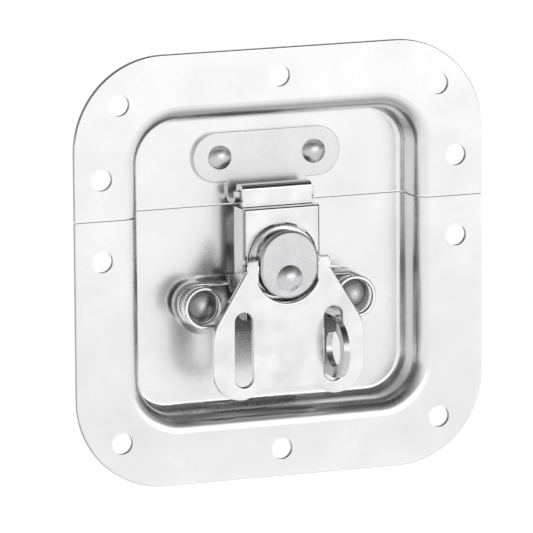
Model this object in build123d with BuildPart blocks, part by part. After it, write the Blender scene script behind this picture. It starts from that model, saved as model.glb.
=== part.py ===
from build123d import *
import os
from math import radians, sqrt, tan

os.makedirs("parts", exist_ok=True)

# Recessed butterfly case latch.  X right, Z up, the front faces -Y.  The origin is the middle of
# the plate, in the plane of the flange's back, which lies on the wall of the case.  Millimetres.

# ---- Driving dimensions: the two dish halves -------------------------------------------------
plate_w = 103.0            # flange, across
plate_h = 103.0            # flange, up, both halves together
plate_corner = 22.0        # outer corner radius of the flange
sheet = 1.2                # steel sheet of the dish halves
split_z = 13.2             # height of the joint between the halves
split_gap = 0.4            # opening left at the joint
pocket_w = 69.6            # recess floor, across, inside
pocket_h = 70.0            # recess floor, up, inside
pocket_depth = 10.0        # flange front to floor front
pocket_corner = 9.5        # corner radius of the recess, inside, at the floor
pocket_draft = 2.0         # lean of the recess walls, degrees
rim_bend = 3.9             # front radius where the flange rolls into the wall
floor_bend = 1.4           # inside radius where the wall meets the floor
mount_hole_r = 2.6         # fixing holes in the flange
mount_edge = 6.7           # fixing hole centre to the flange's edge
side_hole_step = 9.7       # side fixing holes above and below the joint
edge_break = 0.25          # softened sheared edges

# ---- Keeper on the upper half ----------------------------------------------------------------
keeper_w = 37.3            # keeper plate, across
keeper_h = 12.0            # keeper plate, up, with round ends
keeper_t = 1.2             # keeper sheet
keeper_z = 24.7            # middle of the keeper plate
keeper_pitch = 23.8        # between the two keeper rivets
tongue_w = 20.0            # keeper tongue, across
tongue_bend = 1.5          # mid-sheet radius of the tongue's bends
tongue_clear = 0.7         # tongue's lowest face above the edge of the upper half
lip_reach = 5.1            # keeper plate to the standing lip, mid sheet to mid sheet
lip_h = 3.0                # lip's top edge above the tongue's lowest face
keeper_rivet_r = 2.85      # keeper rivet head
keeper_rivet_dome = 1.2    # keeper rivet head, dome above its rim
keeper_shank_r = 1.6       # keeper rivet shank
rivet_rim = 0.3            # straight edge under a rivet head's dome
rivet_fit = 0.03           # shank to hole, radial
tail_over = 1.1            # upset tail wider than its shank, radial
tail_h = 1.0               # upset tail height

# ---- Base plate and padlock staple on the lower half -----------------------------------------
base_t = 1.5               # base plate
base_w = 46.4              # base plate, across the two round ends
base_h = 13.8              # base plate, up, at the ends
base_z = -10.6             # middle height of the ends
base_neck_w = 15.0         # part that runs up behind the drum
base_neck_over = 6.0       # neck above the spindle
base_neck_corner = 3.0     # its upper corners
staple_x = 11.3            # middle of the staple's sheet
staple_z = -20.2           # middle of the staple and its hole
staple_h = 14.0            # staple, up; its nose is half of this as a radius
staple_hole_r = 4.5        # hole for the padlock's shackle
staple_out = 6.6           # staple hole in front of the flange front
staple_slit = 0.4          # staple clear of the base plate's lower edge
staple_bend = 2.3          # outer radius of the staple's bend
staple_tongue_w = 8.0      # tongue that carries the staple, across

# ---- Torsion springs and their posts ---------------------------------------------------------
post_inset = 3.9           # post centre from the end of the base plate
post_z = -9.5              # height of the posts
post_r = 3.75              # post inside the coil
post_h = 6.4               # straight part of the post
post_dome = 1.0            # domed end of the post
post_collar_r = 5.2        # collar of the post, under the coil
post_collar_h = 1.66       # collar height
post_shank_r = 2.4         # post shank through base plate and floor
wire_r = 0.5               # spring wire
coil_play = 0.25           # coil to post, radial
coil_pitch = 2.55          # advance of each turn
coil_turns = 2.5           # turns from the rear leg to the front leg
coil_lift = 0.1            # rear turn above the collar
leg_bend = 0.8             # coil's end to the corner where it eases into a leg
rear_leg = 9.6             # leg that bears behind the hook plate's ear
front_leg = 5.6            # leg towards the staple side

# ---- Eccentric drum, its spindle and cap -----------------------------------------------------
drum_w = 14.4              # drum, across
drum_h = 16.1              # drum, up, with half-round top and bottom
drum_z = 0.55              # middle of the drum at rest
drum_front = 5.7           # cap front in front of the flange front
cap_t = 1.2                # cap on the drum
cap_edge = 0.45            # chamfer round the cap
throw = 3.25               # spindle above the drum's middle, cap rivet below it
spindle_r = 2.0            # spindle journal
spindle_fit = 0.05         # spindle to drum, radial
spindle_head_r = 3.1       # spindle head inside the drum
spindle_head_t = 1.8       # spindle head height
spindle_shank_r = 1.8      # spindle shank through base plate and floor
drum_web = 3.0             # drum floor under the spindle head
drum_bore_play = 0.4       # bore round the spindle head, radial
washer_t = 0.5             # thrust washer under the drum
washer_r = 6.0             # outer radius of the washer
cap_rivet_r = 3.15         # visible rivet head on the cap
cap_rivet_dome = 1.3       # its dome above its rim
cap_rivet_shank_r = 1.5    # its shank
cap_rivet_depth = 6.5      # rivet shank below the cap's front

# ---- Handle and its two hinge pins -----------------------------------------------------------
handle_t = 1.25            # handle sheet
handle_front = 5.0         # handle front in front of the flange front
handle_w = 38.0            # across the two wings
wing_bottom = -31.3        # lowest line of the wings
waist_bottom = -29.2       # lower edge between the wings
waist_run = 3.6            # across, from the waist's edge to the wing's lower line
wing_foot = 8.4            # straight lower line of each wing, with its corner
shoulder_z = -14.3         # where the slanting sides meet the straight ones
horn_over = 0.3            # flat part of the horns above the hinge axis
horn_x = 9.9               # outer corner of the horns
wing_r = 7.0               # wings' lower outer corners
shoulder_r = 9.0           # blend of slanting and straight sides
waist_r = 4.0              # blends between waist and wings
mouth_gap = 1.0            # handle to drum at the sides of the mouth
mouth_floor_gap = 1.2      # handle to drum below the drum
slot_w = 4.5               # slots for the staple, one on each side
slot_top = -10.3           # upper end of the slots
slot_bottom = -28.3        # lower end of the slots
handle_edge = 0.4          # rolled front edge of the blanked sheet
knuckle_wall = 1.0         # sheet rolled round the pin
pin_r = 0.9                # hinge pins
pin_fit = 0.05             # pin to knuckle, radial
pin_press = 0.02           # pin to drum, radial
pin_z = 0.0                # hinge axis height
pin_depth = 3.0            # pin inside the drum
knuckle_gap = 0.3          # drum to knuckle, along the pin
knuckle_len = 3.0          # each knuckle, along the pin

# ---- Hook plate ------------------------------------------------------------------------------
hook_w = 17.5              # hook, across
hook_t = 1.3               # hook plate sheet
hook_front = 0.8           # web front in front of the flange front
hook_hole_r = 8.9          # hole that the drum turns in
hook_hole_z = 1.0          # height of the hole
hook_land = 0.8            # web left at each side of the hole
hook_flange = 6.2          # side flanges, web front to their back edges
hook_step_z = 13.5         # top face of the step below the hook
hook_bottom = -13.0        # lower end of the web
hook_top_bend = 1.1        # outer radius over the lip
hook_step_bend = 0.4       # outer radius of the step
hook_corner = 0.7          # outer radius between web and flanges
hook_engage = 1.4          # hook's nose below the lip's top edge
hook_lip_gap = 0.27        # hook to keeper lip, all round
ear_reach = 2.3            # spring ears beyond the flanges
ear_top = -2.6             # upper edge of the ears
ear_bottom = -7.0          # lower edge of the ears
ear_t = 1.2                # ear sheet

# ---- Positions that follow from the sizes ----------------------------------------------------
flange_front = -sheet
floor_front = flange_front + pocket_depth
floor_back = floor_front + sheet
keeper_mid = floor_front - keeper_t / 2
lip_mid = keeper_mid - lip_reach
upper_edge = split_z + split_gap / 2
lower_edge = split_z - split_gap / 2
tongue_low = upper_edge + tongue_clear
lip_top = tongue_low + lip_h
base_front = floor_front - base_t
base_low = base_z - base_h / 2
post_x = base_w / 2 - post_inset
spindle_z = drum_z + throw
cap_rivet_z = drum_z - throw
drum_back = base_front - washer_t
cap_face = flange_front - drum_front
cap_back = cap_face + cap_t
handle_face = flange_front - handle_front
handle_back = handle_face + handle_t
wing_inset = handle_w / 2 - wing_foot
waist_half = wing_inset - waist_run
horn_top = pin_z + horn_over
slot_x = staple_x
knuckle_r = pin_r + pin_fit + knuckle_wall
pin_y = handle_face + knuckle_r
coil_r = post_r + coil_play + wire_r
coil_height = coil_pitch * coil_turns
coil_rear = base_front - post_collar_h - coil_lift - wire_r
hook_half = hook_hole_r + hook_land
web_face = flange_front - hook_front
flange_edge = web_face + hook_flange
hook_half_depth = keeper_t / 2 + hook_lip_gap + hook_t
hook_top_z = lip_top + hook_lip_gap + hook_t


def facing_front(y):
    """Sketch plane at height y behind the flange back, seen from the front: local x = X, y = Z."""
    return Plane(origin=(0, y, 0), x_dir=(1, 0, 0), z_dir=(0, -1, 0))


def save(part, name, colour):
    part.label = name
    part.color = Color(*colour)
    export_step(part, "parts/" + name + ".step")


STEEL = (0.80, 0.81, 0.83)
DARK = (0.45, 0.46, 0.48)
SPRING = (0.68, 0.69, 0.71)


# ---- Shared shapes ---------------------------------------------------------------------------
def disc_hole(x, z, radius, y, depth):
    """Round hole through a sheet, from y both ways, cut in the part being built."""
    with BuildSketch(facing_front(y)) as disc:
        with Locations((x, z)):
            Circle(radius)
    extrude(disc.sketch, amount=depth, both=True, mode=Mode.SUBTRACT)


def rivet(x, z, seat_y, head_r, rim, dome, shank_r, tail_seat):
    """Rivet along Y: domed head in front of seat_y, shank back to tail_seat, upset tail behind."""
    with BuildPart() as body:
        with BuildSketch(Plane(origin=(x, 0, z), x_dir=(1, 0, 0), z_dir=(0, 0, 1))):
            with BuildLine():
                TangentArc((0, seat_y - rim - dome), (head_r, seat_y - rim), tangent=(1, 0))
                Polyline((head_r, seat_y - rim), (head_r, seat_y), (shank_r, seat_y),
                         (shank_r, tail_seat), (shank_r + tail_over, tail_seat))
                tail_edge = shank_r + tail_over
                Polyline((tail_edge, tail_seat), (tail_edge, tail_seat + tail_h / 2),
                         (tail_edge - tail_h / 2, tail_seat + tail_h), (0, tail_seat + tail_h),
                         (0, seat_y - rim - dome))
            make_face()
        revolve(axis=Axis((x, 0, z), (0, 1, 0)))
    return body.part


# ---- Dish blank: drawn tray with a flat flange, parted along the joint below -----------------
def tray(grow):
    """Solid that fills the tray up to its skin; grow moves the skin out by the sheet."""
    with BuildPart() as body:
        with BuildSketch(facing_front(floor_front + grow)):
            RectangleRounded(pocket_w + 2 * grow, pocket_h + 2 * grow, pocket_corner + grow)
        extrude(amount=pocket_depth + grow, taper=-pocket_draft)
        fillet(body.edges().group_by(Axis.Y)[-1], floor_bend + grow)
    return body.part


with BuildPart() as dish_blank:
    with BuildSketch(facing_front(0)):
        RectangleRounded(plate_w, plate_h, plate_corner)
    extrude(amount=sheet)
    outline_edges = dish_blank.edges().group_by(Axis.Y)[0]
    fillet(outline_edges, edge_break)
    add(tray(sheet))
    reach = max(pocket_w, pocket_h) / 2 + 2 * sheet + pocket_depth * tan(radians(pocket_draft))
    back_rim = [e for e in dish_blank.edges().filter_by(Plane.XZ)
                if abs(e.center().Y) < 0.01 and max(abs((e @ t).X) for t in (0, 1)) < reach
                and max(abs((e @ t).Z) for t in (0, 1)) < reach]
    fillet(back_rim, rim_bend - sheet)
    add(tray(0), mode=Mode.SUBTRACT)
    front_rim = [e for e in dish_blank.edges().filter_by(Plane.XZ)
                 if abs(e.center().Y - flange_front) < 0.01
                 and max(abs((e @ t).X) for t in (0, 1)) < reach
                 and max(abs((e @ t).Z) for t in (0, 1)) < reach]
    fillet(front_rim, rim_bend)


def mount_points(side):
    """Fixing holes of one half; side is +1 for the upper half and -1 for the lower."""
    corner = plate_corner - (plate_corner - mount_edge) / sqrt(2)
    across = plate_w / 2
    up = plate_h / 2
    points = [(0, side * (up - mount_edge))]
    for hand in (-1, 1):
        points.append((hand * (across - corner), side * (up - corner)))
        points.append((hand * (across - mount_edge), split_z + side * side_hole_step))
    return points


# ---- Upper and lower dish --------------------------------------------------------------------
with BuildPart() as upper_dish:
    add(dish_blank.part)
    split(bisect_by=Plane.XY.offset(upper_edge), keep=Keep.TOP)
    for x, z in mount_points(1):
        disc_hole(x, z, mount_hole_r, flange_front, 2 * sheet)
    for hand in (-1, 1):
        disc_hole(hand * keeper_pitch / 2, keeper_z, keeper_shank_r + rivet_fit,
                  floor_front, 2 * sheet)
save(upper_dish.part, "upper_dish", STEEL)

with BuildPart() as lower_dish:
    add(dish_blank.part)
    split(bisect_by=Plane.XY.offset(lower_edge), keep=Keep.BOTTOM)
    for x, z in mount_points(-1):
        disc_hole(x, z, mount_hole_r, flange_front, 2 * sheet)
    for hand in (-1, 1):
        disc_hole(hand * post_x, post_z, post_shank_r + rivet_fit, floor_front, 2 * sheet)
    disc_hole(0, spindle_z, spindle_shank_r + rivet_fit, floor_front, 2 * sheet)
save(lower_dish.part, "lower_dish", STEEL)

# ---- Keeper: riveted plate whose tongue curls into a standing lip under the hook -------------
with BuildPart() as keeper_plate:
    with BuildSketch(facing_front(floor_front)):
        with Locations((0, keeper_z)):
            SlotOverall(keeper_w, keeper_h)
    extrude(amount=keeper_t)
    fillet(keeper_plate.edges().group_by(Axis.Y)[0], edge_break)
    with BuildSketch(Plane.YZ):
        with BuildLine():
            tongue_mid = tongue_low + keeper_t / 2
            FilletPolyline((keeper_mid, keeper_z), (keeper_mid, tongue_mid),
                           (lip_mid, tongue_mid), (lip_mid, lip_top), radius=tongue_bend)
        trace(line_width=keeper_t)
    extrude(amount=tongue_w / 2, both=True)
    for hand in (-1, 1):
        disc_hole(hand * keeper_pitch / 2, keeper_z, keeper_shank_r + rivet_fit,
                  floor_front, 2 * keeper_t)
save(keeper_plate.part, "keeper_plate", STEEL)

for name, hand in (("keeper_rivet_left", -1), ("keeper_rivet_right", 1)):
    save(rivet(hand * keeper_pitch / 2, keeper_z, floor_front - keeper_t, keeper_rivet_r,
               rivet_rim, keeper_rivet_dome, keeper_shank_r, floor_back), name, STEEL)

# ---- Base plate, with the padlock staple folded up from it -----------------------------------
staple_y = flange_front - staple_out
staple_low = staple_z - staple_h / 2
staple_root_top = base_low - staple_slit
shoulder_y = base_front - staple_slit
base_mid = floor_front - base_t / 2
tongue_left = staple_x + base_t / 2 - staple_tongue_w
with BuildPart() as base_plate:
    with BuildSketch(facing_front(floor_front)):
        with Locations((0, base_z)):
            SlotOverall(base_w, base_h)
        neck_top = spindle_z + base_neck_over
        with Locations((0, (base_z + neck_top) / 2)):
            RectangleRounded(base_neck_w, neck_top - base_z, base_neck_corner)
        with Locations((tongue_left, staple_low)):
            Rectangle(staple_tongue_w - staple_bend, base_z - staple_low,
                      align=(Align.MIN, Align.MIN))
    extrude(amount=base_t)
    with BuildSketch(Plane.XY.offset(staple_low)):
        with BuildLine():
            FilletPolyline((tongue_left, base_mid), (staple_x, base_mid), (staple_x, staple_y),
                           radius=staple_bend - base_t / 2)
        trace(line_width=base_t)
    extrude(amount=staple_root_top - staple_low)
    with BuildSketch(Plane.YZ.offset(staple_x - base_t / 2)):
        with Locations((staple_y, staple_z)):
            Rectangle(shoulder_y - staple_y, staple_h, align=(Align.MIN, Align.CENTER))
            Circle(staple_h / 2)
            Circle(staple_hole_r, mode=Mode.SUBTRACT)
    extrude(amount=base_t)
    with BuildSketch(Plane.YZ.offset(staple_x)):
        with Locations((staple_y, staple_z)):
            Circle(staple_hole_r)
    extrude(amount=base_t, both=True, mode=Mode.SUBTRACT)
    for hand in (-1, 1):
        disc_hole(hand * post_x, post_z, post_shank_r + rivet_fit, floor_front, 2 * base_t)
    disc_hole(0, spindle_z, spindle_shank_r + rivet_fit, floor_front, 2 * base_t)
save(base_plate.part, "base_plate", STEEL)

# ---- Posts that rivet the base plate down and carry the springs ------------------------------
for name, hand in (("spring_post_left", -1), ("spring_post_right", 1)):
    with BuildPart() as post:
        add(rivet(hand * post_x, post_z, base_front, post_r, post_h, post_dome, post_shank_r,
                  floor_back))
        with BuildSketch(facing_front(base_front)):
            with Locations((hand * post_x, post_z)):
                Circle(post_collar_r)
        extrude(amount=post_collar_h)
    save(post.part, name, DARK)

# ---- Torsion springs: coil round the post, rear leg to the hook plate, front leg inward ------
with BuildPart() as spring_left:
    with BuildLine() as turns:
        Helix(coil_pitch, coil_height, coil_r)
    coil_seat = Plane(origin=(-post_x, coil_rear, post_z), x_dir=(0, 0, 1), z_dir=(0, -1, 0))
    coil = coil_seat.from_local_coords(turns.line)
    runs = list(coil.edges())
    for end, onward, leg in ((0, -leg_bend, rear_leg), (1, leg_bend, front_leg)):
        knee = coil @ end + (coil % end) * onward
        foot = knee + Vector(leg_bend, 0, 0)
        runs.append(Bezier(coil @ end, knee, foot))
        runs.append(Line(foot, foot + Vector(leg - 2 * leg_bend, 0, 0)))
    centre_line = Wire(runs)
    with BuildSketch(Plane(origin=centre_line @ 0, z_dir=centre_line % 0)):
        Circle(wire_r)
    sweep(path=centre_line)
save(spring_left.part, "spring_left", SPRING)
save(mirror(spring_left.part, about=Plane.YZ), "spring_right", SPRING)

# ---- Spindle that the drum turns on, with its thrust washer ----------------------------------
head_back = drum_back - drum_web - spindle_fit
with BuildPart() as spindle:
    with BuildSketch(Plane(origin=(0, 0, spindle_z), x_dir=(1, 0, 0), z_dir=(0, 0, 1))):
        with BuildLine():
            tail_edge = spindle_shank_r + tail_over
            Polyline((0, head_back - spindle_head_t), (spindle_head_r, head_back - spindle_head_t),
                     (spindle_head_r, head_back), (spindle_r, head_back), (spindle_r, base_front),
                     (spindle_shank_r, base_front), (spindle_shank_r, floor_back),
                     (tail_edge, floor_back), (tail_edge, floor_back + tail_h),
                     (0, floor_back + tail_h), close=True)
        make_face()
    revolve(axis=Axis((0, 0, spindle_z), (0, 1, 0)))
save(spindle.part, "spindle", DARK)

with BuildPart() as thrust_washer:
    with BuildSketch(facing_front(base_front)):
        with Locations((0, spindle_z)):
            Circle(washer_r)
            Circle(spindle_r + spindle_fit, mode=Mode.SUBTRACT)
    extrude(amount=washer_t)
save(thrust_washer.part, "thrust_washer", SPRING)


# ---- Drum that drives the hook plate, closed by a cap and its rivet --------------------------
def drum_outline():
    with Locations((0, drum_z)):
        SlotOverall(drum_h, drum_w, rotation=90)


with BuildPart() as cam_drum:
    with BuildSketch(facing_front(drum_back)):
        drum_outline()
    extrude(amount=drum_back - cap_back)
    with BuildSketch(facing_front(drum_back - drum_web)):
        with Locations((0, spindle_z)):
            Circle(spindle_head_r + drum_bore_play)
    extrude(amount=drum_back - drum_web - cap_back, mode=Mode.SUBTRACT)
    disc_hole(0, spindle_z, spindle_r + spindle_fit, drum_back, drum_web + washer_t)
    disc_hole(0, cap_rivet_z, cap_rivet_shank_r + rivet_fit, cap_face, cap_rivet_depth)
    for hand in (-1, 1):
        with BuildSketch(Plane(origin=(hand * (drum_w / 2 - pin_depth), pin_y, pin_z),
                               z_dir=(hand, 0, 0))):
            Circle(pin_r + pin_press)
        extrude(amount=2 * pin_depth, mode=Mode.SUBTRACT)
save(cam_drum.part, "cam_drum", STEEL)

with BuildPart() as cam_cap:
    with BuildSketch(facing_front(cap_back)):
        drum_outline()
    extrude(amount=cap_t)
    chamfer(cam_cap.edges().group_by(Axis.Y)[0], cap_edge)
    disc_hole(0, cap_rivet_z, cap_rivet_shank_r + rivet_fit, cap_face, 2 * cap_t)
save(cam_cap.part, "cam_cap", STEEL)

with BuildPart() as cam_rivet:
    with BuildSketch(Plane(origin=(0, 0, cap_rivet_z), x_dir=(1, 0, 0), z_dir=(0, 0, 1))):
        with BuildLine():
            brim = cap_face - rivet_rim / 2
            crown = (0, brim - cap_rivet_dome)
            TangentArc(crown, (cap_rivet_r, brim), tangent=(1, 0))
            Polyline((cap_rivet_r, brim), (cap_rivet_r, cap_face), (cap_rivet_shank_r, cap_face),
                     (cap_rivet_shank_r, cap_face + cap_rivet_depth),
                     (0, cap_face + cap_rivet_depth), crown)
        make_face()
    revolve(axis=Axis((0, 0, cap_rivet_z), (0, 1, 0)))
save(cam_rivet.part, "cam_rivet", STEEL)

# ---- Hinge pins, pressed into the drum's sides -----------------------------------------------
knuckle_in = drum_w / 2 + knuckle_gap
for name, hand in (("hinge_pin_left", -1), ("hinge_pin_right", 1)):
    with BuildPart() as hinge_pin:
        with BuildSketch(Plane(origin=(hand * (drum_w / 2 - pin_depth), pin_y, pin_z),
                               z_dir=(hand, 0, 0))):
            Circle(pin_r)
        extrude(amount=pin_depth + knuckle_gap + knuckle_len)
        chamfer(hinge_pin.edges().group_by(Axis.X)[0 if hand < 0 else -1], edge_break)
    save(hinge_pin.part, name, DARK)

# ---- Hook plate: channel with the drum's hole, stepped up to a hook over the keeper's lip ----
foot_cut = hook_flange / 2
foot_round = hook_t / 2
with BuildPart() as hook_plate:
    with BuildSketch(Plane.XY.offset(hook_bottom)):
        with Locations((0, web_face)):
            channel = Rectangle(2 * hook_half, hook_flange, align=(Align.CENTER, Align.MIN))
            fillet(channel.vertices().group_by(Axis.Y)[0], hook_corner)
        with Locations((0, web_face + hook_t)):
            Rectangle(2 * (hook_half - hook_t), hook_flange,
                      align=(Align.CENTER, Align.MIN), mode=Mode.SUBTRACT)
    extrude(amount=hook_step_z - hook_bottom)
    with BuildSketch(Plane.YZ):
        with BuildLine():
            FilletPolyline((web_face, hook_bottom), (web_face, hook_step_z),
                           (flange_edge, hook_step_z), (flange_edge, hook_bottom + foot_cut),
                           (flange_edge - foot_cut, hook_bottom),
                           radius=(0, hook_step_bend, foot_round, foot_round, foot_round),
                           close=True)
        make_face()
    extrude(amount=hook_half, both=True, mode=Mode.INTERSECT)
    lead = lip_mid - hook_half_depth
    nose = lip_mid + hook_half_depth
    nose_z = lip_top - hook_engage
    inner_bend = hook_step_bend / 2
    with BuildSketch(Plane.YZ):
        with BuildLine():
            FilletPolyline((web_face, hook_step_z - 2 * hook_t), (web_face, hook_step_z),
                           (lead, hook_step_z), (lead, hook_top_z), (nose, hook_top_z),
                           (nose, nose_z), (nose - hook_t, nose_z),
                           (nose - hook_t, hook_top_z - hook_t),
                           (lead + hook_t, hook_top_z - hook_t),
                           (lead + hook_t, hook_step_z - hook_t),
                           (web_face + hook_t, hook_step_z - hook_t),
                           (web_face + hook_t, hook_step_z - 2 * hook_t),
                           radius=(0, hook_step_bend, inner_bend, hook_top_bend, hook_top_bend,
                                   inner_bend, inner_bend, inner_bend, inner_bend,
                                   hook_step_bend, inner_bend, 0), close=True)
        make_face()
    extrude(amount=hook_w / 2, both=True)
    with BuildSketch(facing_front(web_face + hook_t)):
        with Locations((0, hook_hole_z)):
            Circle(hook_hole_r)
    extrude(amount=hook_t, mode=Mode.SUBTRACT)
    for hand in (-1, 1):
        with BuildSketch(facing_front(flange_edge)):
            with BuildLine():
                ear_root = hand * (hook_half - hook_t / 2)
                Polyline((ear_root, ear_top), (hand * (hook_half + ear_reach), ear_top),
                         (hand * (hook_half + ear_reach / 2), ear_bottom),
                         (ear_root, ear_bottom), close=True)
            make_face()
        extrude(amount=ear_t)
save(hook_plate.part, "hook_plate", STEEL)

# ---- Handle: two-winged plate with slots and a rolled knuckle on each horn -------------------
mouth_r = drum_w / 2 + mouth_gap
mouth_z = drum_z - drum_h / 2 - mouth_floor_gap + mouth_r
half_outline = [(waist_half, waist_bottom), (wing_inset, wing_bottom),
                (handle_w / 2, wing_bottom), (handle_w / 2, shoulder_z), (horn_x, horn_top)]
half_radii = [waist_r, waist_r, wing_r, shoulder_r, edge_break]
with BuildPart() as handle:
    with BuildSketch(facing_front(handle_back)):
        with BuildLine():
            FilletPolyline(*half_outline, *[(-x, z) for x, z in reversed(half_outline)],
                           radius=half_radii + half_radii[::-1], close=True)
        make_face()
        with Locations((0, mouth_z)):
            Circle(mouth_r, mode=Mode.SUBTRACT)
        with Locations((0, mouth_z + mouth_r)):
            Rectangle(2 * mouth_r, 2 * mouth_r, mode=Mode.SUBTRACT)
        for hand in (-1, 1):
            with Locations((hand * slot_x, (slot_top + slot_bottom) / 2)):
                SlotOverall(slot_top - slot_bottom, slot_w, rotation=90, mode=Mode.SUBTRACT)
    extrude(amount=handle_t)
    fillet(handle.edges().group_by(Axis.Y)[0], handle_edge)
    for hand in (-1, 1):
        with BuildSketch(Plane(origin=(hand * knuckle_in, pin_y, pin_z), z_dir=(hand, 0, 0))):
            Circle(knuckle_r)
        extrude(amount=knuckle_len)
    for hand in (-1, 1):
        with BuildSketch(Plane(origin=(hand * knuckle_in, pin_y, pin_z), z_dir=(hand, 0, 0))):
            Circle(pin_r + pin_fit)
        extrude(amount=2 * knuckle_len, mode=Mode.SUBTRACT)
save(handle.part, "handle", STEEL)
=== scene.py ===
from math import cos, radians, sin

import bmesh
import bpy
from mathutils import Matrix, Vector


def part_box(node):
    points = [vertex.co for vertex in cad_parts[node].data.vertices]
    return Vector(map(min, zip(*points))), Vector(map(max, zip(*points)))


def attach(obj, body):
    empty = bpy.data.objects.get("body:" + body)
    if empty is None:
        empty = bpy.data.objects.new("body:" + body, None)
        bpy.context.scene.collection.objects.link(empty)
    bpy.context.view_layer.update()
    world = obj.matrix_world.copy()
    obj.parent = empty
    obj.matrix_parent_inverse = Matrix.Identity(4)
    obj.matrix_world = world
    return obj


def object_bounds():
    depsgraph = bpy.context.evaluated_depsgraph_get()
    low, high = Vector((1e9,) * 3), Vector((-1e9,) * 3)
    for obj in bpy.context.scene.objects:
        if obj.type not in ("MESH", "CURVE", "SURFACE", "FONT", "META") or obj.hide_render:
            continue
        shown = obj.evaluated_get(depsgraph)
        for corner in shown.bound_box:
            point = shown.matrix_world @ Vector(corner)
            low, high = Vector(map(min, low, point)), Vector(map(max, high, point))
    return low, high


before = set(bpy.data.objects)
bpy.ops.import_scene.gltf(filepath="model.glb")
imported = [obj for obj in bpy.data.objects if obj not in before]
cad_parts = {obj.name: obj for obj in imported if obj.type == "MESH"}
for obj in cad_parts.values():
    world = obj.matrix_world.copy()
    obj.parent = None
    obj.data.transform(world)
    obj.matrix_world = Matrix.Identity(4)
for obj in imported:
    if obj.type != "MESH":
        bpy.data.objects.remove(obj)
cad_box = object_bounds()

MM = 0.001
scene = bpy.context.scene
scene.view_settings.view_transform = "Standard"


# ---- Camera: a long lens, left of the latch and a little above -------------------------------
AZIMUTH = radians(21.2)        # how far left of straight ahead
ELEVATION = radians(10.65)     # how far above the level
ROLL = radians(-0.40)
DISTANCE = 1.682               # metres, to the middle of the view
LENS = 480.9                   # millimetres, on the sensor below
SENSOR = 36.0
CLIP_END = 50.0
OFF_RIGHT = -3.43 * MM         # the view's middle, from the middle of the flange's front
OFF_UP = -0.83 * MM


def place_camera():
    look = Vector((sin(AZIMUTH) * cos(ELEVATION), cos(AZIMUTH) * cos(ELEVATION), -sin(ELEVATION)))
    side = Vector((cos(AZIMUTH), -sin(AZIMUTH), 0.0))
    level = side.cross(look)
    right = side * cos(ROLL) + level * sin(ROLL)
    up = level * cos(ROLL) - side * sin(ROLL)
    flange_front = Vector((0.0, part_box("upper_dish")[0][1], 0.0))
    stand = flange_front + right * OFF_RIGHT + up * OFF_UP - look * DISTANCE
    lens = bpy.data.cameras.new("camera")
    lens.lens = LENS
    lens.sensor_width = SENSOR
    lens.clip_end = CLIP_END
    camera = bpy.data.objects.new("camera", lens)
    scene.collection.objects.link(camera)
    turn = Matrix((right, up, -look)).transposed().to_4x4()
    camera.matrix_world = Matrix.Translation(stand) @ turn
    scene.camera = camera


place_camera()


# ---- Node helpers ----------------------------------------------------------------------------
class Shader:
    """A material or world tree, with short calls to add and join its nodes."""

    def __init__(self, tree):
        self.tree = tree
        tree.nodes.clear()

    def add(self, kind, **values):
        node = self.tree.nodes.new(kind)
        for key, value in values.items():
            setattr(node, key, value)
        return node

    def link(self, source, target):
        self.tree.links.new(source, target)

    def total(self, first, second):
        """The sum of two outputs."""
        node = self.add("ShaderNodeMath", operation="ADD")
        self.link(first, node.inputs[0])
        self.link(second, node.inputs[1])
        return node.outputs[0]

    def noise(self, coords, scale, detail, rough=0.6):
        node = self.add("ShaderNodeTexNoise")
        node.inputs["Scale"].default_value = scale
        node.inputs["Detail"].default_value = detail
        node.inputs["Roughness"].default_value = rough
        self.link(coords, node.inputs["Vector"])
        return node.outputs["Fac"]

    def span(self, source, low, high, start, end):
        """Values from start to end become values from low to high, and stop there."""
        node = self.add("ShaderNodeMapRange")
        node.inputs["From Min"].default_value = start
        node.inputs["From Max"].default_value = end
        node.inputs["To Min"].default_value = low
        node.inputs["To Max"].default_value = high
        self.link(source, node.inputs["Value"])
        return node.outputs["Result"]

    def ramp(self, source, stops):
        """Colours by place from 0 to 1. A stop's colour is one number for a grey, or three."""
        node = self.add("ShaderNodeValToRGB")
        points = node.color_ramp.elements
        while len(points) < len(stops):
            points.new(0.5)
        for point, (place, colour) in zip(points, stops):
            point.position = place
            point.color = (*(colour if isinstance(colour, tuple) else (colour,) * 3), 1.0)
        self.link(source, node.inputs["Fac"])
        return node.outputs["Color"]

    def blend(self, kind, first, second):
        """Two colours in full by a blend mode: MULTIPLY tints one by the other, DARKEN takes the darker."""
        node = self.add("ShaderNodeMix", data_type="RGBA", blend_type=kind)
        node.inputs["Factor"].default_value = 1.0
        self.link(first, node.inputs["A"])
        self.link(second, node.inputs["B"])
        return node.outputs["Result"]


# ---- Metal -----------------------------------------------------------------------------------
NOISE_LOW, NOISE_HIGH = 0.3, 0.7    # the noise seldom leaves this band
CLOUD_DETAIL, GRAIN_DETAIL = 4.0, 3.0
GRAIN_DEPTH = 0.1 * MM
EVEN = ((0.0, 1.0), (1.0, 1.0))     # the same brightness everywhere


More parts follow.
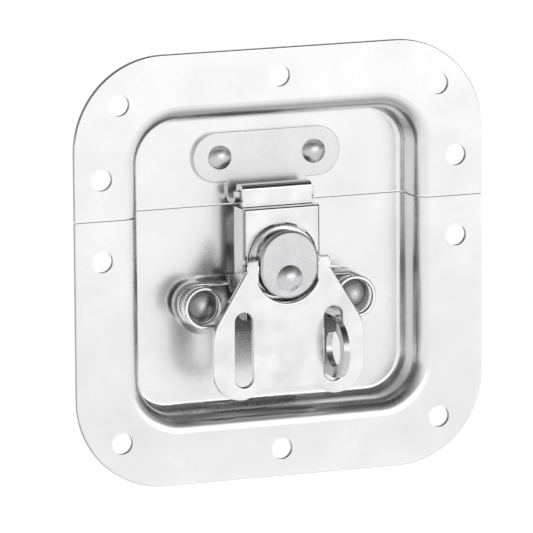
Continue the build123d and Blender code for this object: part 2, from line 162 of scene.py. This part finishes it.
def metal(name, dark, light, rough, grain, bump=0.02, cloud=60.0, speckle=0.03, painted_shade_by_facing=EVEN,
          painted_shade_by_rising=EVEN):
    """Plated steel: cloudy colour, roughness and a fine bump that all come from noise.

    grain and cloud are the scales of the fine and the broad noise. The ramp over how square a
    place is to the front paints shade into the colour, from places square to the front (0) to
    places that face it (1): bends and cut edges are painted darker, and a dome can keep a painted
    highlight at its top. The ramp over height paints shade the same way, from places that look
    straight down (0) to places that look straight up (1).
    """
    material = bpy.data.materials.new(name)
    material.use_nodes = True
    shader = Shader(material.node_tree)
    output = shader.add("ShaderNodeOutputMaterial")
    body = shader.add("ShaderNodeBsdfPrincipled")
    body.inputs["Metallic"].default_value = 1.0
    shader.link(body.outputs["BSDF"], output.inputs["Surface"])

    texture = shader.add("ShaderNodeTexCoord")
    cloudy = shader.noise(texture.outputs["Object"], cloud, CLOUD_DETAIL)
    fine = shader.noise(texture.outputs["Object"], grain, GRAIN_DETAIL)

    normal = shader.add("ShaderNodeSeparateXYZ")
    shader.link(texture.outputs["Normal"], normal.inputs["Vector"])
    front_shade_mask = shader.add("ShaderNodeMath", operation="ABSOLUTE")
    shader.link(normal.outputs["Y"], front_shade_mask.inputs[0])
    rising_shade_mask = shader.span(normal.outputs["Z"], 0.0, 1.0, -1.0, 1.0)

    colour = shader.ramp(cloudy, [(NOISE_LOW, dark), (NOISE_HIGH, light)])
    # Painted shade: the colour is multiplied by two ramps of the surface's direction, which paint bends,
    # cut edges and faces that look up or down darker.
    colour = shader.blend("MULTIPLY", colour, shader.ramp(front_shade_mask.outputs[0], painted_shade_by_facing))
    colour = shader.blend("MULTIPLY", colour, shader.ramp(rising_shade_mask, painted_shade_by_rising))
    specks = shader.ramp(fine, [(NOISE_LOW, 1.0 - 2.0 * speckle), (NOISE_HIGH, 1.0)])
    shader.link(shader.blend("MULTIPLY", colour, specks), body.inputs["Base Color"])

    halves = [shader.span(source, rough[0] / 2, rough[1] / 2, NOISE_LOW, NOISE_HIGH)
              for source in (cloudy, fine)]
    shader.link(shader.total(*halves), body.inputs["Roughness"])

    dent = shader.add("ShaderNodeBump")
    dent.inputs["Strength"].default_value = bump
    dent.inputs["Distance"].default_value = GRAIN_DEPTH
    shader.link(fine, dent.inputs["Height"])
    shader.link(dent.outputs["Normal"], body.inputs["Normal"])
    return material


def steel(value):
    """Bare steel's grey, a little blue."""
    return (value, value, value + 0.01)


def dress(piece, material):
    if not piece.material_slots:
        piece.data.materials.append(material)
    for place in piece.material_slots:
        place.material = material


# Painted shade: the dish's cut edges are painted dark, for the shade in the joint between the halves, and
# its bends that look down are painted darker, in place of the dark surroundings they reflect.
dish_metal = metal(
    "dish_zinc", 0.77, 0.85, (0.22, 0.29), 1500.0, bump=0.006, speckle=0.010,
    painted_shade_by_facing=((0.0, 0.35), (0.022, 0.35), (0.03, 1.0)),
    painted_shade_by_rising=((0.1, 0.9), (0.2, 0.55), (0.29, 0.45), (0.36, 0.70), (0.42, 0.92), (0.47, 1.0)))
bright_metal = metal("bright_zinc", 0.73, 0.93, (0.12, 0.20), 1400.0, cloud=140.0, speckle=0.015)
# Painted shade: the hook plate's bends are painted darker, and its faces that look up darker still, in
# place of the dark reflections they show.
hook_metal = metal(
    "hook_zinc", 0.73, 0.93, (0.14, 0.22), 1400.0, cloud=140.0, speckle=0.015,
    painted_shade_by_facing=((0.0, 0.97), (0.12, 0.75), (0.5, 0.75), (0.75, 0.3), (0.93, 0.3), (0.98, 0.85),
            (0.997, 1.0)),
    painted_shade_by_rising=((0.75, 1.0), (0.9, 0.8), (1.0, 0.42)))
keeper_metal = metal("keeper_zinc", 0.68, 0.77, (0.28, 0.36), 1800.0)
# Painted shade: the base plate is painted a darker grey than the plated zinc, for the shade it lies in
# behind the handle.
base_metal = metal("base_zinc", steel(0.52), steel(0.64), (0.16, 0.26), 1800.0)
rivet_metal = metal("rivet_steel", steel(0.54), steel(0.70), (0.24, 0.34), 2500.0)
spring_metal = metal("spring_steel", steel(0.80), steel(0.90), (0.08, 0.14), 3000.0)
cap_metal = metal(
    "cap_steel", steel(0.64), steel(0.78), (0.38, 0.55), 2200.0, bump=0.10, cloud=220.0,
    speckle=0.08)
# Painted highlight and shade: the posts' domed ends are painted bright only at the top and darker around it
# and on the sides' edges.
post_metal = metal(
    "post_steel", steel(0.62), steel(0.80), (0.26, 0.34), 2500.0, bump=0.03,
    painted_shade_by_facing=((0.0, 0.9), (0.5, 0.9), (0.86, 0.30), (0.975, 0.34), (0.993, 0.6), (0.999, 1.0)))

for material, names in (
        (dish_metal, ("upper_dish", "lower_dish")),
        (bright_metal, ("handle", "cam_drum")),
        (hook_metal, ("hook_plate",)),
        (keeper_metal, ("keeper_plate",)),
        (base_metal, ("base_plate",)),
        (rivet_metal, ("keeper_rivet_left", "keeper_rivet_right", "cam_rivet", "spindle",
                       "hinge_pin_left", "hinge_pin_right")),
        (spring_metal, ("spring_left", "spring_right", "thrust_washer")),
        (cap_metal, ("cam_cap",)),
        (post_metal, ("spring_post_left", "spring_post_right"))):
    for name in names:
        dress(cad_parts[name], material)


# ---- Pieces added to the solids --------------------------------------------------------------
ROUNDING_STEPS = 3


def plate(name, outline, front, thickness, edge, body):
    """Flat plate across the front, from an outline of (x, z) points, with its front edge rounded."""
    form = bmesh.new()
    face = form.faces.new([form.verts.new((x, front + thickness, z)) for x, z in outline])
    grown = bmesh.ops.extrude_face_region(form, geom=[face])
    ahead = [item for item in grown["geom"] if isinstance(item, bmesh.types.BMVert)]
    bmesh.ops.translate(form, verts=ahead, vec=(0.0, -thickness, 0.0))
    bmesh.ops.recalc_face_normals(form, faces=form.faces)
    rim = [line for line in form.edges if all(corner in ahead for corner in line.verts)]
    bmesh.ops.bevel(form, geom=rim, offset=edge, segments=ROUNDING_STEPS, affect="EDGES",
                    clamp_overlap=True)
    for item in form.faces:
        item.smooth = len(item.verts) == 4
    mesh = bpy.data.meshes.new(name)
    form.to_mesh(mesh)
    form.free()
    piece = bpy.data.objects.new(name, mesh)
    scene.collection.objects.link(piece)
    dress(piece, bright_metal)
    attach(piece, body)


def horn_tips():
    """The horns' sheet goes on flat in front of each knuckle's roll, as high as the roll."""
    handle_low, handle_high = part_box("handle")
    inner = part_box("cam_drum")[1][0] + 0.3 * MM    # just clear of the drum's side
    outer = 10.5 * MM                              # the knuckle's outer end
    root = -3.7 * MM                               # where the horn leaves the wing
    shoulder, neck = -1.2 * MM, -0.6 * MM          # heights where the slope meets the knuckle
    top = handle_high[2]
    cut = 0.4 * MM                                 # the cut corner at the top
    proud = 0.02 * MM                              # keeps the tip's face ahead of the handle's
    sheet = 1.25 * MM
    outline = [(inner, root), (outer - 1.0 * MM, root), (outer + 0.2 * MM, shoulder),
               (outer, neck), (outer, top - cut), (outer - cut, top), (inner, top)]
    for name, hand in (("horn_tip_left", -1), ("horn_tip_right", 1)):
        plate(name, [(hand * x, z) for x, z in outline], handle_low[1] - proud, sheet + proud,
              0.25 * MM, "handle")


def eccentric_disc():
    """The cam's round disc, which fills the hook plate's round hole behind the drum."""
    radius, middle_x, middle_z = 8.55 * MM, 0.3 * MM, 0.75 * MM
    sunk = 0.15 * MM
    step = 5                                       # degrees
    round_it = [radians(angle) for angle in range(0, 360, step)]
    plate("eccentric_disc",
          [(middle_x + radius * cos(angle), middle_z + radius * sin(angle)) for angle in round_it],
          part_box("hook_plate")[0][1] + sunk, 1.2 * MM, 0.3 * MM, "latch")


horn_tips()
eccentric_disc()


# ---- Studio ----------------------------------------------------------------------------------
FLOOR_REACH = 6.0
PAPER = (0.90, 0.90, 0.90, 1.0)
WHITE = (1.0, 1.0, 1.0, 1.0)
FLOOR_GLOW = 0.82               # what the paper lacks to show as white
# The studio's brightness from straight down (0) to straight up (1): it is dark overhead.
BY_HEIGHT = [(0.0, 0.20), (0.08, 0.25), (0.18, 0.6), (0.30, 1.0), (0.54, 1.0), (0.60, 0.80),
             (0.67, 0.50), (0.75, 0.36), (0.83, 0.22), (0.90, 0.12), (0.96, 0.05)]
# And from in front of the latch (0), past its sides (0.5), to behind it (1).
BY_DEPTH = [(0.0, 1.0), (0.12, 0.95), (0.24, 0.45), (0.38, 0.22), (0.5, 0.22), (0.8, 0.45),
            (1.0, 0.6)]


def paper_material():
    """Plain paper that shows as white to the camera, and in metal and glass."""
    paper = bpy.data.materials.new("floor_paper")
    paper.use_nodes = True
    shader = Shader(paper.node_tree)
    output = shader.add("ShaderNodeOutputMaterial")
    body = shader.add("ShaderNodeBsdfPrincipled")
    body.inputs["Base Color"].default_value = PAPER
    body.inputs["Roughness"].default_value = 1.0
    body.inputs["Specular IOR Level"].default_value = 0.0
    body.inputs["Emission Color"].default_value = WHITE
    path = shader.add("ShaderNodeLightPath")
    mirrored = shader.total(path.outputs["Is Glossy Ray"], path.outputs["Is Transmission Ray"])
    glow = shader.add("ShaderNodeMath", operation="MULTIPLY")
    shader.link(shader.total(path.outputs["Is Camera Ray"], mirrored), glow.inputs[0])
    glow.inputs[1].default_value = FLOOR_GLOW
    shader.link(glow.outputs[0], body.inputs["Emission Strength"])
    shader.link(body.outputs["BSDF"], output.inputs["Surface"])
    return paper


def lay_floor():
    level = cad_box[0][2]
    mesh = bpy.data.meshes.new("floor")
    mesh.from_pydata([(-FLOOR_REACH, -FLOOR_REACH, level), (FLOOR_REACH, -FLOOR_REACH, level),
                      (FLOOR_REACH, FLOOR_REACH, level), (-FLOOR_REACH, FLOOR_REACH, level)],
                     [], [(0, 1, 2, 3)])
    floor = bpy.data.objects.new("floor", mesh)
    scene.collection.objects.link(floor)
    dress(floor, paper_material())


def light_studio():
    world = bpy.data.worlds.new("studio")
    world.use_nodes = True
    scene.world = world
    shader = Shader(world.node_tree)
    output = shader.add("ShaderNodeOutputWorld")
    background = shader.add("ShaderNodeBackground")
    direction = shader.add("ShaderNodeSeparateXYZ")
    shader.link(shader.add("ShaderNodeTexCoord").outputs["Generated"], direction.inputs["Vector"])
    height = shader.span(direction.outputs["Z"], 0.0, 1.0, -1.0, 1.0)
    depth = shader.span(direction.outputs["Y"], 0.0, 1.0, -1.0, 1.0)
    darker = shader.blend("DARKEN", shader.ramp(height, BY_HEIGHT), shader.ramp(depth, BY_DEPTH))
    shader.link(darker, background.inputs["Color"])
    background.inputs["Strength"].default_value = 1.0
    shader.link(background.outputs["Background"], output.inputs["Surface"])


def soft_light(name, place, size, power):
    """A soft lamp that is aimed at the latch."""
    lamp = bpy.data.lights.new(name, "AREA")
    lamp.shape = "RECTANGLE"
    lamp.size, lamp.size_y = size
    lamp.energy = power
    holder = bpy.data.objects.new(name, lamp)
    holder.location = place
    holder.rotation_mode = "QUATERNION"
    holder.rotation_quaternion = (-Vector(place)).to_track_quat("-Z", "Y")
    scene.collection.objects.link(holder)


lay_floor()
light_studio()
soft_light("key", place=(0.5, -1.6, 0.35), size=(1.6, 0.8), power=4.0)
